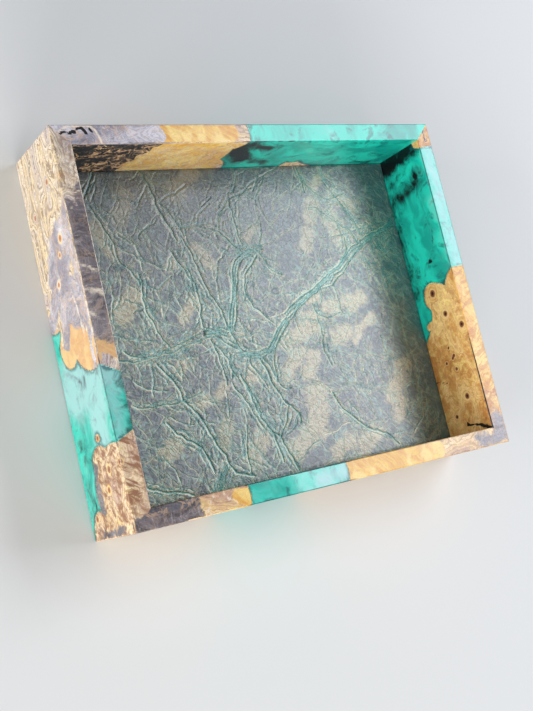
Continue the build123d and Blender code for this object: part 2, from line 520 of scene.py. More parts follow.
@dataclass(frozen=True)
class BurlFinish:
    """Stabilised maple burl, sanded and polished.

    Burl grows in swirls round many small buds, so its cut face shows rings that curl like contour
    lines, darker eyes, golden sapwood at the live edge and grey, spalted heartwood behind it.

    The strokes' numbers choose among these: tone goes from pale wood to warm wood, and silver from
    dark heartwood to grey heartwood.
    """

    name: str = "polished_maple_burl"
    cream: str = "#f0e0c8"
    yellow: str = "#eed6a6"
    mauve: str = "#cdc1bf"
    honey: str = "#e2aa62"
    amber: str = "#f7d08e"
    brown: str = "#bd8040"
    line: str = "#6c4c3c"
    warm_line: str = "#8a5526"
    bar: str = "#6f5a50"
    warm_bar: str = "#b8743a"
    gold: str = "#db9a3c"
    gold_light: str = "#efc55c"
    gold_shine: str = "#fbe08a"
    dash: str = "#c4702a"
    peach: str = "#cba68c"
    heart: str = "#171319"
    heart_light: str = "#2c2529"
    heart_fibre: str = "#241c1d"
    heart_line: str = "#1d181b"
    umber: str = "#7b6253"
    silver: str = "#96929d"
    silver_light: str = "#d6d0d5"
    vein: str = "#e0b486"
    eye: str = "#703624"
    pale_eye: str = "#c4764a"
    pupil: str = "#24110d"
    void: str = "#100c0d"
    bark: str = "#3c241a"

    def material(self) -> bpy.types.Material:
        """The material."""
        g = Graph(self.name)
        tone, band, silver, edge, bud = g.painted("tone", "band", "silver", "live_edge", "eye")
        gold, dark_heart, pale_spot, dark_spot = g.painted("gold", "heart", "pale", "dark")
        (grain,) = g.painted("grain", out="Vector")
        place = g.place()
        bent = g.bent(g.bent(place, 30, 26), 9, 8)
        fine = g.cloud(bent, 3, 5, 0.68)
        ragged = (fine - 0.5) * 0.7 + (g.cloud(place, 0.9, 3, 0.7) - 0.5) * 0.3
        eye = (fine - 0.5) * 0.9 + bud

        # Real rings are about 0.3 mm apart, too fine to show, and these are 0.7 to 1.2 mm apart.
        grown = g.bent(g.bent(grain * (0.45, 1, 1), 30, 26), 9, 7)
        swirl = g.cloud(grown, 20, 2, 0.45) + eye.share(3.6, 0.4, 0.0, 0.2)
        grown = fine * 0.07 + swirl
        rings = g.ripple(grown, 17).share(0.6, 1.0) * g.cloud(bent, 12, 3).share(0.3, 0.48)
        hairs = g.ripple(fine * 0.1 + swirl, 40)

        # Pale and warm wood, with curls, a glow along the fibres that is painted sheen, and bars across them.
        tint = {"Fac": fine * 0.3 + grown}
        pale = node(g.tree, "ValToRGB", tint, stops=(
            (0.5, self.mauve), (0.6, self.cream), (0.67, self.cream), (0.72, self.yellow),
            (0.77, self.cream), (0.84, self.mauve),
        ))
        warm = node(g.tree, "ValToRGB", tint, stops=(
            (0.44, self.brown), (0.54, self.honey), (0.66, self.amber), (0.74, self.honey),
            (0.86, self.brown),
        ))
        curls = g.cloud(g.bent(grain, 7, 8), 4, 5, 0.65)
        curled = tone * 0.4 + 0.1
        glow = g.streaks(bent, 5, 0.9, (1, 0.3, 0.6), 4, 0.6)
        across = g.streaks(g.bent(grain, 9, 7), 2.6, 0.4, (1, 0.5, 0.2), 5, 0.6, tilt=0.5)
        line = g.layers(self.line, (tone, self.warm_line))
        bars = g.layers(self.bar, (tone, self.warm_bar))
        wood = g.layers(
            pale,
            (tone, warm),
            (curls.share(0.5, 0.66) * curled, self.gold_shine),
            (curls.share(0.48, 0.34) * curled, self.brown),
            (rings * (tone * -0.3 + 0.6), line),
            (glow.share(0.5, 0.7) * (tone * 0.6), self.gold_shine),
            (glow.share(0.46, 0.3) * 0.28, self.brown),
            (hairs * (tone * -0.16 + 0.42), line),
            (across.share(0.42, 0.62) * band * 0.8, bars),
        )

        # Golden sapwood with streaks, flame, a painted sheen and a few burnt dashes.
        streak = g.streaks(g.bent(place, 14, 7), 1.8, 0.9, (1, 0.14, 0.5), 5, 0.65)
        shine = g.streaks(bent, 9, 0.5, (1, 0.4, 1), 2)
        flame = g.streaks(g.bent(place, 20, 9), 4.5, 0.7, (1, 0.2, 0.6), 4, 0.6)
        sapwood = g.layers(
            self.gold,
            (streak.share(0.35, 0.68), self.gold_light),
            (flame.share(0.48, 0.36) * 0.6, self.honey),
            (shine.share(0.46, 0.64) * 0.7, self.gold_shine),
            (across.share(0.5, 0.58) * band * 0.55, self.dash),
            (hairs * 0.16, self.line),
            (tone.share(0.25, 0.0, 0.0, 0.5), self.peach),
        )

        # Dark and grey heartwood with seams, fibres and curls. It is calm away from where they meet.
        calm = abs(silver * 2.0 - 1.0) * silver.share(0.6, 1.0, 1.0, 0.45)
        seam = abs(g.cloud(bent, 11, 6, 0.6) - 0.5).share(0.042, 0.004) * g.cloud(bent, 8, 2).share(0.36, 0.6)
        fibre = g.cloud(g.bent(grain, 12, 8) * (1, 0.5, 0.12), 1.3, 4, 0.65)
        banded = g.streaks(bent, 5, 0.1, (0.12, 1, 0.3), 5, 0.65)
        curl = g.ripple(grown, 22).share(0.86, 1.0) * g.cloud(place, 16, 2).share(0.45, 0.6)
        spalted = g.layers(self.silver, ((fine * 0.5 + swirl).share(0.66, 0.94), self.silver_light))
        heartwood = g.layers(
            self.heart,
            (banded.share(0.46, 0.72), self.heart_light),
            (silver, spalted),
            (calm.share(0.4, 0.0, 0.0, 0.4), self.umber),
            (banded.share(0.52, 0.36) * silver.share(0.4, 1.0, 0.6, 0.22), self.heart_fibre),
            (fibre.share(0.48, 0.7) * calm.share(0.4, 0.0, 0.12, 0.4), self.mauve),
            (hairs.share(0.5, 1.0) * 0.3, self.heart_line),
            (seam * calm, self.vein),
            (curl * (calm * 0.8), self.vein),
            (eye.share(3.0, 1.0) * 0.7, self.amber),
        )

        # The eyes have two rings round a dark pupil. Voids and the bark at the live edge come last.
        iris = g.layers(self.pale_eye, (tone, self.eye))
        is_void = (dark_spot + ragged * 0.6).share(0.4, 0.56)
        wood = g.layers(
            wood,
            ((gold + ragged * 0.8).share(0.4, 0.6), sapwood),
            ((dark_heart + ragged).share(0.38, 0.62), heartwood),
            ((pale_spot + ragged).share(0.35, 0.65) * fibre.share(0.4, 0.58, 0.35, 0.8), self.cream),
            (abs(eye - 1.7).share(0.6, 0.2) * 0.5, self.amber),
            (abs(eye - 1.2).share(0.3, 0.1) * 0.6, self.line),
            (eye.share(1.2, 1.0) * 0.9, iris),
            (eye.share(0.75, 0.5) * (tone * 0.6 + 0.35), self.pupil),
            (is_void, self.void),
            ((edge + fine).share(1.25, 0.55) * 0.8, self.bark),
        )
        polish = {"Roughness": 0.4, "Coat Weight": 0.4, "Coat Roughness": 0.1, "Specular IOR Level": 0.26}
        return g.finish({"Base Color": wood, **polish}, hairs * 0.4 - is_void, 0.03)


@dataclass(frozen=True)
class ResinFinish:
    """Epoxy with teal mica, poured in stages and polished.

    The pour drags the mica into clouds and ribbons, black ink hangs in it like smoke, and it turns
    milky where the mica lies flat under the polished skin. On the rims and outer faces that milk is
    also a painted sheen, which the inner faces lack.
    """

    name: str = "cast_teal_epoxy"
    deep: str = "#0a4a4c"
    teal: str = "#0a9c8c"
    bright: str = "#1bcdb4"
    milk: str = "#9cc9c6"
    grey: str = "#76898f"
    ink: str = "#06090b"

    def material(self) -> bpy.types.Material:
        """The material."""
        g = Graph(self.name)
        milk, smoke, edge = g.painted("milk", "smoke", "live_edge")
        place = g.place()
        bent = g.bent(g.bent(place, 40, 34), 14, 12)
        pour = g.streaks(bent, 24, 0.5, (1, 0.6, 1.6), 5, 0.55)
        wisps = g.cloud(bent, 9, 7, 0.62)
        drag = g.streaks(bent, 3, 0.5, (1, 0.3, 1), 4, 0.6)
        milky = (pour - 0.5) * 1.2 + milk
        smoky = (wisps - 0.5) * 1.5 + smoke + (drag - 0.5) * 0.8
        near_wood = (wisps - 0.5) * 7.0 + edge
        body = g.layers(
            self.teal,
            (pour.share(0.34, 0.56), self.bright),
            (wisps.share(0.47, 0.32) * 0.7, self.deep),
            (milky.share(0.2, 0.9) * 0.9, self.milk),
            (wisps.share(0.46, 0.7) * milk * 0.7, self.grey),
            (smoky.share(0.22, 0.95), self.ink),
            (near_wood.share(1.8, 0.0) * 0.7, self.deep),
        )
        # Mica flakes are under 0.1 mm, too fine to show, and these are drawn 0.5 mm wide.
        glitter = g.cloud(place, 0.5, 1).share(0.3, 0.7, 0.34, 0.46)
        polish = {"Coat Weight": 0.7, "Coat Roughness": 0.04, "Specular IOR Level": 0.16}
        return g.finish({"Base Color": body, "Roughness": glitter, **polish})


@dataclass(frozen=True)
class PlywoodFinish:
    """Thin birch plywood, sanded and left bare: pale, with fine open grain along the tray."""

    name: str = "sanded_birch_plywood"
    pale: str = "#d9bd92"
    tan: str = "#c09a68"
    brown: str = "#b08a5b"
    pore: str = "#7d5c3a"

    def material(self) -> bpy.types.Material:
        """The material."""
        g = Graph(self.name)
        place = g.bent(g.place(), 60, 8)
        grain = g.streaks(place, 3.2, 0, (0.035, 1, 1), 5, 0.62)
        pores = g.streaks(place, 0.5, 0, (0.08, 1, 1), 2)
        figure = g.ripple(g.streaks(place, 46, 0, (0.1, 1, 1), 2), 5)
        colour = g.layers(
            self.pale,
            (grain.share(0.35, 0.66), self.tan),
            (figure * 0.3, self.brown),
            (pores.share(0.62, 0.7) * 0.5, self.pore),
        )
        return g.finish({"Base Color": colour, "Roughness": 0.62}, pores, 0.03)


@dataclass(frozen=True)
class LeatherFinish:
    """Hand-dyed leather, crumpled wet and waxed.

    Teal dye gathers in the creases and the lips beside them are worn pale by rubbing, one lip of each
    also lighter as a painted highlight and the crease's other side darker as a painted shade. Between
    them the grain side shows slate and tan patches under a web of hair-fine cracks.
    """

    name: str = "crumpled_dyed_leather"
    slate: str = "#626b6f"
    shadow: str = "#394247"
    moss: str = "#657472"
    tan: str = "#c0ab7c"
    cream: str = "#f6e8c0"
    # Pale crest colours: worn, and a painted highlight.
    rubbed_and_lit: str = "#b9bcb4"
    rubbed_and_lit_teal: str = "#8fc0b2"
    teal: str = "#46a091"
    mint: str = "#8fcabc"
    # Painted shade in a crease's dark core.
    dark: str = "#123a38"
    # The painted shade along the right wall, where the wall shadows the leather.
    deep: str = "#266468"
    # The painted shade in the back left corner.
    corner_shade_colour: str = "#28302f"
    hole: str = "#060707"

    def material(self) -> bpy.types.Material:
        """The material."""
        g = Graph(self.name)
        near, patch, hole, corner_shade, wall_shade = g.painted("near", "patch", "hole", "corner_shade", "wall_shade")
        flat = g.place() * (1, 1, 0)
        bent = g.bent(g.bent(flat, 18, 8), 5, 3)
        broad = g.cloud(bent, 34, 4, 0.6)
        mottle = g.cloud(bent, 9, 7, 0.7)
        # Real pores are about 0.2 mm wide, too fine to show, and these are 0.7 to 0.8 mm wide.
        crumbs = g.cloud(flat, 0.8, 4, 0.75)
        hatch = g.streaks(bent, 0.7, 0.8, (1, 0.12, 1), 4, 0.75)
        cross = g.streaks(bent, 0.8, -0.5, (1, 0.1, 1), 4, 0.75)
        prints = g.ripple(g.cloud(g.bent(flat, 5, 4), 9, 2.5, 0.55), 7)
        scratch = g.ripple(g.streaks(g.bent(flat, 9, 7), 7, 0.9, (1, 0.35, 1), 2, 0.5), 8)
        ridges = prints + (scratch - prints) * broad.share(0.46, 0.56)
        vein = abs(g.cloud(g.bent(flat, 9, 12), 6, 3, 0.55) - 0.5)

        torn = (mottle - 0.5) * 2.1 + patch + (g.cloud(bent, 3, 4, 0.6) - 0.5) * 0.8
        is_patch = ((hatch - 0.5) * 1.3 + torn).share(0.15, 0.85)
        worn = g.layers(self.tan, (crumbs.share(0.43, 0.6), self.cream))
        lit = g.layers(self.rubbed_and_lit, (broad.share(0.4, 0.62), self.rubbed_and_lit_teal))
        colour = g.layers(
            self.slate,
            (broad.share(0.42, 0.6), self.moss),
            (mottle.share(0.46, 0.28) * 0.2, self.shadow),
            (cross.share(0.52, 0.34) * 0.4, self.shadow),
            (is_patch * 0.8, worn),
            (near * g.cloud(bent, 4, 4, 0.6).share(0.46, 0.54) * 0.85, worn),
            (near * near * cross.share(0.42, 0.6) * 0.4, self.teal),
            # Painted highlight on the crests of the fine ridges, and painted shade in their troughs.
            (ridges.share(0.5, 0.95) * mottle.share(0.2, 0.6) * 0.3, lit),
            (ridges.share(0.45, 0.05) * 0.4, self.shadow),
            (vein.share(0.03, 0.008) * mottle.share(0.44, 0.6) * 0.6, self.mint),
        )
        colour, fine_relief = self._creased(g, colour, "fine", crumbs, mottle)
        colour, main_relief = self._creased(g, colour, "main", crumbs, mottle)
        # Painted shade over it all: near black towards the back left corner, and deep teal along the right
        # wall, where that wall shadows the leather. The hole comes last.
        colour = g.layers(
            colour, (corner_shade * 0.7, self.corner_shade_colour), (wall_shade * 0.66, self.deep), (hole, self.hole)
        )

        relief = ridges * 0.34 + mottle * 0.8 + vein.share(0.0, 0.08) * 0.12
        relief += crumbs * 0.16 + (hatch + cross) * 0.16
        relief += fine_relief * 0.45 + main_relief * 0.75
        wax = {"Specular IOR Level": 0.95, "Coat Weight": 0.55, "Coat Roughness": 0.25}
        inputs = {"Base Color": colour, "Roughness": crumbs.share(0.3, 0.7, 0.4, 0.6), **wax}
        return g.finish(inputs, relief, 0.34)

    def _creased(
        self, g: Graph, colour: Field, group: str, crumbs: Field, mottle: Field
    ) -> tuple[Field, Field]:
        """Draws one group of creases over the colour.

        The signed distance is nought right on a crease, also between the mesh's points. The plain
        distance keeps its other changes of sign, halfway between two creases, from showing.

        Args:
            g: The graph.
            colour: What lies under the creases.
            group: The group's name in the mesh's fields.
            crumbs: Fine noise, which frays the edges.
            mottle: Broad noise, which varies the dye.

        Returns:
            The colour with the creases, and their height.
        """
        names = ("side", "half", "gap", "lip", "dye", "core")
        side, half, gap, lip, dye, core = g.painted(*(f"{group}_{name}" for name in names))
        far = gap - 0.5
        fray = (crumbs - 0.5) * 0.95
        away = abs(side).larger(far)
        beyond = away + fray - half
        # The pale lip on one side of each crease is partly worn pale and partly a painted highlight; the dark
        # core, set towards the other side, is painted shade in the crease.
        rubbed_and_lit = side.share(-0.3, 0.3, 0.1, 1.0) * mottle.share(0.38, 0.52)
        slit = abs(half * 0.8 + side).larger(far - half) + fray
        colour = g.layers(
            colour,
            (abs(beyond - 0.2).share(0.38, 0.1) * rubbed_and_lit * lip, self.cream),
            (beyond.share(0.12, -0.1) * dye, g.layers(self.teal, (mottle.share(0.42, 0.6), self.mint))),
            (slit.share(0.26, 0.1) * core, self.dark),
        )
        return colour, (away / (half + 0.1)).share(0.0, 1.6)


@dataclass(frozen=True)
class Rail:
    """One rail: pieces of burl and the resin cast round them, seen from its outer corner.

    Run goes along the rail, depth down from the rim, and across inwards from the outer face.
    """

    corner: tuple[float, float]
    along: tuple[float, float]
    inward: tuple[float, float]
    wood: tuple[str, ...]
    resin: str
    strokes: tuple[Stroke, ...]
    tone: float
    milk: float
    spacing: float = 1.0
    gap_limit: float = 12.0
    milky_sheen_depth: float = 4.0
    sharp: float = 30.0

    def coordinates(self, points: np.ndarray) -> np.ndarray:
        """Run, depth and across of points in the row frame."""
        flat = points[:, :2] - np.array(self.corner)
        return np.stack([flat @ np.array(self.along), HEIGHT - points[:, 2], flat @ np.array(self.inward)], 1)

    @staticmethod
    def pushed(where: np.ndarray) -> np.ndarray:
        """Pushes places about a little, so that no stroke has an even outline.

        Args:
            where: Rail coordinates, one place in each row.

        Returns:
            The pushed coordinates.
        """
        moved = []
        for run, depth, across in where.tolist():
            slow = noise.noise_vector(Vector((run / 8, depth / 8, across / 8)))
            quick = noise.noise_vector(Vector((run / 2.6, depth / 2.6, across / 2.6)))
            moved.append(slow * 2.4 + quick * 0.8)
        return where + np.array(moved)

    def fields(self, where: np.ndarray, channels: tuple[Channel, ...]) -> dict[str, np.ndarray]:
        """The strongest stroke of each channel at each place.

        Args:
            where: Rail coordinates, one place in each row.
            channels: The channels that this piece's finish reads.

        Returns:
            For each channel's name, a number at each place.
        """
        pushed = self.pushed(where)
        found = {channel.value: np.zeros(len(where)) for channel in channels}
        for stroke in self.strokes:
            if stroke.channel in channels:
                spots = where if stroke.soft <= 0.5 else pushed
                found[stroke.channel.value] = np.maximum(found[stroke.channel.value], stroke.field(spots))
        return found

    def eyes(self, where: np.ndarray) -> np.ndarray:
        """How far the nearest eye is from each place.

        Args:
            where: Rail coordinates, one place in each row.

        Returns:
            The distances, in the eye's own radii, up to the limit.
        """
        nearest = np.full(len(where), EYE_LIMIT)
        for stroke in self.strokes:
            if stroke.channel is EYE:
                nearest = np.minimum(nearest, line_distance(where, stroke.line())[0] / stroke.reach)
        return nearest

    def wood_fields(self, where: np.ndarray) -> dict[str, np.ndarray]:
        """What the burl's finish reads at each place.

        Args:
            where: Rail coordinates, one place in each row.

        Returns:
            For each name, a number or a vector at each place.
        """
        fields = self.fields(where, (HEART, GOLD, PALE, DARK, SILVER, TONE, BAND))
        fields["eye"] = self.eyes(where)
        fields["tone"] = np.maximum(fields["tone"], self.tone)
        fields["grain"] = where + GRAIN_SHIFT * np.array([*self.inward, 0])
        return fields

    def resin_fields(self, where: np.ndarray) -> dict[str, np.ndarray]:
        """What the resin's finish reads at each place.

        Args:
            where: Rail coordinates, one place in each row.

        Returns:
            For each name, a number at each place.
        """
        fields = self.fields(where, (SMOKE, MILK))
        # Within this depth of the rim and of the outer face the resin is milkier: partly mica under the skin,
        # partly a painted sheen of the light that these faces catch.
        skin = np.clip(1.2 - np.minimum(where[:, 1], where[:, 2]) / self.milky_sheen_depth, 0, 1)
        fields["milk"] = np.maximum(fields["milk"], self.milk * skin)
        return fields

    def build(self, burl: bpy.types.Material, resin: bpy.types.Material) -> list[bpy.types.Object]:
        """Makes the rail's pieces, each in the place of its CAD node.

        Args:
            burl: The finish of its wood.
            resin: The finish of its resin.

        Returns:
            The pieces.
        """
        pieces = []
        rough = {name: Surface.of_node(name) for name in (*self.wood, self.resin)}
        woods = [rough[name].tree() for name in self.wood]
        cast = rough[self.resin].tree()
        for name, surface in rough.items():
            surface.slice(self.spacing)
            where = self.coordinates(surface.points)
            is_resin = name == self.resin
            fields = self.resin_fields(where) if is_resin else self.wood_fields(where)
            trees, limit = woods if is_resin else [cast], self.gap_limit
            fields["live_edge"] = np.array([
                min(tree.find_nearest(point, limit)[3] or limit for tree in trees)
                for point in surface.points.tolist()
            ])
            piece = surface.build(name + "_finished", fields, resin if is_resin else burl, self.sharp)
            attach(piece, "root")
            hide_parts(name)
            pieces.append(piece)
        return pieces


def strokes(channel: Channel, face: Face, *lines: tuple) -> tuple[Stroke, ...]:
    """Strokes on one face, each given as its points, reach, soft width and strength."""
    return tuple(Stroke(channel, face, *line) for line in lines)


# The left rail: dark heartwood behind the two lobes, grey wood with eyes, gold at the live edge.
LEFT_STROKES = (
    *strokes(
        HEART, OUTER,
        (((58, 12), (62, 20), (72, 27), (84, 22), (90, 8)), 13, 5), (((44, 0), (50, 5), (56, 12)), 6, 4),
        (((88, 24), (98, 30), (104, 35)), 4, 1), (((96, 4), (119, 4)), 1.8, 1),
        (((80, 36), (88, 42), (92, 51)), 5, 3), (((6, 34), (30, 44)), 5, 8, 0.6),
        (((170, 31), (180, 33), (190, 31)), 3, 3), (((203, 12), (205, 40)), 3, 4, 0.8),
        (((196, 46), (204, 36)), 5, 8, 0.6),
    ),
    *strokes(
        GOLD, OUTER,
        (((102, 21), (110, 15), (117, 14)), 9, 1.5), (((112, 26), (114, 36), (111, 40)), 7, 1.5),
        (((110, 43), (100, 42), (97, 39)), 1.2, 0.8), (((97, 39), (95, 45), (96, 51)), 1.2, 0.8),
        (((114, 0), (120, 0)), 2, 1), (((182.5, 20),), 2.5, 1.5), (((80, 31),), 1.6, 1),
        (((54.6, 14.3),), 1.6, 1),
    ),
    *strokes(SILVER, OUTER, (((4, 25.5), (110, 25.5)), 25.6, 0.4), (((168, 30), (206, 30)), 30, 0.4, 0.35)),
    *strokes(TONE, OUTER, (((172, 12), (196, 30)), 30, 0.5, 0.4)),
    *strokes(BAND, OUTER, (((172, 14), (198, 34)), 26, 3, 1.3)),
    *strokes(SILVER, RIM, (((4, 6), (206, 6)), 7, 0.4, 0.4)),
    *strokes(TONE, RIM, (((165, 6), (206, 6)), 8, 0.4, 0.2)),
    *strokes(
        PALE, OUTER,
        (((86, 13), (96, 11), (107, 11)), 1.2, 2), (((72, 27), (77, 29)), 2, 2, 0.8),
        (((52, 13), (57, 16)), 1.6, 2, 0.8),
    ),
    *strokes(
        EYE, OUTER,
        (((54.6, 14.3),), 1.3), (((62, 19),), 0.9), (((75, 28),), 1.0), (((171, 1),), 1.1),
        (((172.8, 15),), 1.4), (((182.5, 20),), 1.2), (((156.4, 20.7),), 0.9), (((195, 42),), 1.2),
        (((24, 16),), 1.0), (((35, 40),), 1.0),
    ),
    *strokes(
        HEART, RIM,
        (((56, 7), (104, 7)), 8.8, 4), (((34, 10.6), (50, 9)), 4, 3), (((44, 3), (48, 5)), 2, 3),
        (((200, 11), (202, 1)), 2, 1.5),
    ),
    *strokes(BAND, RIM, (((160, 5), (206, 5)), 7, 2), (((2, 5), (34, 5)), 7, 2, 0.5)),
    *strokes(
        PALE, RIM,
        (((73, 1), (76, 10)), 0.8, 2, 0.95), (((84, 1), (88, 10)), 1.4, 2.5, 1.0),
        (((99, 1), (103, 10)), 1.0, 2, 0.9), (((58, 1), (60, 10)), 0.4, 1.5, 0.75),
        (((93, 1), (96, 10)), 0.3, 1.2, 0.8), (((32, 1), (31, 10)), 0.6, 1.2, 0.9),
        (((37, 6), (35, 10)), 0.6, 1.2), (((43, 2), (40, 8)), 0.8, 1.5),
    ),
    *strokes(GOLD, RIM, (((111, 3), (114, 10)), 6, 3)),
    *strokes(
        MILK, OUTER,
        (((124, 14), (128, 36)), 15, 12, 1.4), (((134, 12), (156, 16)), 10, 10, 1.1),
        (((150, 30), (196, 44)), 16, 10, 0.4),
    ),
    *strokes(
        SMOKE, OUTER,
        (((156.4, 20.7),), 2.8, 1.2, 0.7), (((188, 40), (194, 44)), 1.5, 1.5, 0.8),
        (((160, 40), (204, 48)), 8, 10, 0.5), (((122, 6), (127, 32)), 4, 7, 0.5),
    ),
    *strokes(
        SMOKE, RIM,
        (((121, 10), (124, 2)), 1, 2, 0.7), (((155, 10), (160, 4)), 2, 2, 0.8),
        (((122, 9), (158, 10)), 3.5, 4, 0.62),
    ),
    *strokes(MILK, RIM, (((122, 3), (160, 3)), 6, 5, 0.62)),
)

# The back rail: dark heartwood with voids in its rim, gold towards the resin, then black smoke.
BACK_STROKES = (
    *strokes(SILVER, RIM, (((0, 5.3), (62, 5.3)), 5.35, 0.1)),
    *strokes(
        SILVER, OUTER,
        (((0, 6), (70, 6)), 7, 1, 0.7), (((0, 20), (66, 20)), 8, 1, 0.7), (((40, 34), (60, 34)), 7, 2, 0.6),
    ),
    *strokes(HEART, RIM, (((0, 5.3), (55, 5.3)), 9, 1)),
    *strokes(HEART, OUTER, (((0, 6), (40, 8)), 14, 6), (((50, 4), (60, 30)), 6, 5)),
    *strokes(
        HEART, INNER,
        (((0, 10), (51, 10)), 9, 1), (((0, 20), (47, 20)), 9, 1), (((0, 32), (43, 32)), 9, 1),
    ),
    *strokes(GOLD, RIM, (((60, 5), (104, 5)), 8, 2)),
    *strokes(GOLD, INNER, (((64, 12), (112, 12)), 13, 3, 0.52), (((56, 28), (110, 28)), 14, 3, 0.52)),
    *strokes(
        PALE, RIM,
        (((3.5, 6), (4.5, 4), (7, 2), (11, 0.9), (17, 0.6), (22, 0.8), (25, 3), (26.6, 7),
         (27, 10)), 0.6, 0.5), (((28, 1), (35, 7)), 0.4, 0.6),
    ),
    *strokes(
        DARK, RIM,
        (((4.5, 5.6), (6, 4.4), (8.5, 3.8)), 0.65, 0.5),
        (((10.5, 4.8), (12.5, 3.6), (13.5, 4.4)), 0.8, 0.5),
        (((17.4, 1.8), (18.6, 3), (19.6, 4.8)), 0.85, 0.5), (((21.8, 2.4), (22.8, 3.8)), 0.7, 0.5),
        (((14.5, 2.6), (16, 2.2)), 0.6, 0.5),
    ),
    *strokes(
        SMOKE, INNER,
        (((110, 3), (118, 14), (126, 25)), 8, 5), (((118, 5), (138, 10)), 4.5, 5),
        (((126, 22), (146, 33)), 3, 4), (((216, 34), (230, 35)), 2, 2, 0.9),
        (((193, 3), (218, 5), (240, 4)), 1.2, 2, 0.75), (((150, 12), (156, 10)), 1, 2, 0.7),
    ),
    *strokes(SMOKE, RIM, (((146, 5), (150, 6)), 0.8, 1, 0.7), (((139, 4),), 0.6, 1, 0.6)),
    *strokes(MILK, RIM, (((150, 5), (190, 5)), 5, 5, 0.15)),
)

# The right rail: smoky resin, then golden burl with eyes, darker at the front corner.
RIGHT_STROKES = (
    *strokes(SILVER, RIM, (((160, 5.3), (206, 5.3)), 5.5, 0.2, 0.62)),
    *strokes(
        SMOKE, INNER,
        (((10, 6), (14, 20), (15, 36)), 8, 5), (((31, 9),), 3.5, 2),
        (((33, 8), (37, 20), (39, 34)), 4.5, 6), (((24, 20), (28, 34)), 3, 5, 0.85),
        (((52, 34), (64, 37)), 2, 5, 0.6), (((86, 30), (104, 36)), 3, 6, 0.85),
        (((40, 37), (104, 37)), 3, 6, 0.85), (((58, 10), (68, 8), (78, 11), (85, 17)), 0.3, 0.5, 0.8),
        (((84.5, 16), (85, 18)), 1.2, 0.8), (((22, 30), (30, 36)), 2, 3, 0.8),
    ),
    *strokes(
        EYE, INNER,
        (((105, 21.7),), 1.7), (((120, 15),), 1.4), (((129.7, 3.6),), 1.5), (((141, 20),), 0.8),
        (((146.5, 17),), 0.9), (((148, 18.6),), 0.8), (((155, 17.5),), 0.9), (((150, 25),), 0.8),
        (((173, 14.6),), 1.4), (((184, 28),), 1.0),
    ),
    *strokes(
        DARK, INNER,
        (((160, 38), (160.5, 34), (162, 29)), 0.3, 0.5),
        (((194.4, 0.5), (193, 5), (191.8, 9)), 1.3, 0.9, 1.1),
        (((191.8, 9), (190.6, 14), (189.5, 20)), 0.95, 0.9, 1.1), (((177, 0.6), (179, 1.4)), 0.7, 0.6),
    ),
    *strokes(HEART, INNER, (((195, 2), (192, 10)), 1.6, 2.5, 0.8)),
    *strokes(GOLD, RIM, (((90, 5.3), (168, 5.3)), 5.35, 0.1)),
    *strokes(BAND, RIM, (((92, 5), (190, 5)), 7, 2, 1.0)),
    *strokes(HEART, RIM, (((190, 5), (206, 5)), 7, 7, 0.75), (((4, 5), (12, 5)), 3, 2, 0.6)),
    *strokes(MILK, RIM, (((14, 5), (90, 5)), 7, 5, 0.5)),
)

# The front rail: heartwood and gold on both sides of milky resin.
FRONT_STROKES = (
    *strokes(
        SILVER, RIM,
        (((0, 5.3), (60, 5.3)), 6.5, 0.4, 0.3), (((200, 5.3), (250, 5.3)), 6.5, 0.4, 0.62),
    ),
    *strokes(HEART, RIM, (((0, 6), (28, 6)), 10, 4), (((232, 5), (254, 5)), 7, 8, 0.75)),
    *strokes(SILVER, OUTER, (((0, 5), (40, 5)), 9, 1, 0.45)),
    *strokes(GOLD, RIM, (((61, 5), (65, 5)), 5, 2), (((130, 5.3), (196, 5.3)), 5.6, 0.5)),
    *strokes(GOLD, OUTER, (((128, 8), (160, 2)), 4, 4, 0.55)),
    *strokes(PALE, RIM, (((40, 2), (46, 9)), 1, 1), (((52, 9), (58, 2)), 0.8, 1)),
    *strokes(MILK, RIM, (((112, 5), (128, 5)), 6, 5, 0.7), (((66, 5), (110, 5)), 5, 5, 0.4)),
)

# Each rail's outer corner, its directions along and inwards, its nodes, its strokes, tone and milk.
RAILS = (
    Rail(
        (-LENGTH / 2, WIDTH / 2), (0, -1), (1, 0), ("left_burl_back", "left_burl_front", "left_burl_islet"),
        "left_resin", LEFT_STROKES, 0.0, 0.3,
    ),
    Rail(
        (-LENGTH / 2, WIDTH / 2), (1, 0), (0, -1), ("back_burl", "back_burl_sliver"),
        "back_resin", BACK_STROKES, 0.3, 0.05,
    ),
    Rail(
        (LENGTH / 2, WIDTH / 2), (0, -1), (-1, 0), ("right_burl_cap", "right_burl"),
        "right_resin", RIGHT_STROKES, 1.0, 0.35,
    ),
    Rail(
        (-LENGTH / 2, -WIDTH / 2), (1, 0), (0, 1), ("front_burl_left", "front_burl_right"),
        "front_resin", FRONT_STROKES, 0.6, 0.35,
    ),
)


class Crease(Enum):
    """A kind of crease: its group, half width, depth, dye, dark core and pale lip."""

    BAND = ("main", 0.5, 0.5, 0.9, 0.6, 1.0)
    STRONG = ("main", 0.48, 0.9, 1.0, 0.75, 1.0)
    PLAIN = ("main", 0.36, 0.75, 0.95, 0.6, 0.9)
    FINE = ("fine", 0.26, 0.5, 0.85, 0.6, 0.7)
    PALE = ("fine", 0.2, 0.3, 0.25, 0.0, 1.0)
    STRAND = ("fine", 0.24, 0.45, 0.85, 0.5, 0.75)
    HAIR = ("fine", 0.14, 0.2, 0.45, 0.0, 0.35)


# How far apart the points of a wandering crease are, how far apart twigs leave a traced crease, and
# how many strands run beside each kind of it. The finer kinds have neither twigs nor strands.
WANDER_STEP = 1.5
TWIG_EVERY = 3.5
STRANDS = {Crease.BAND: 4, Crease.STRONG: 3, Crease.PLAIN: 3}

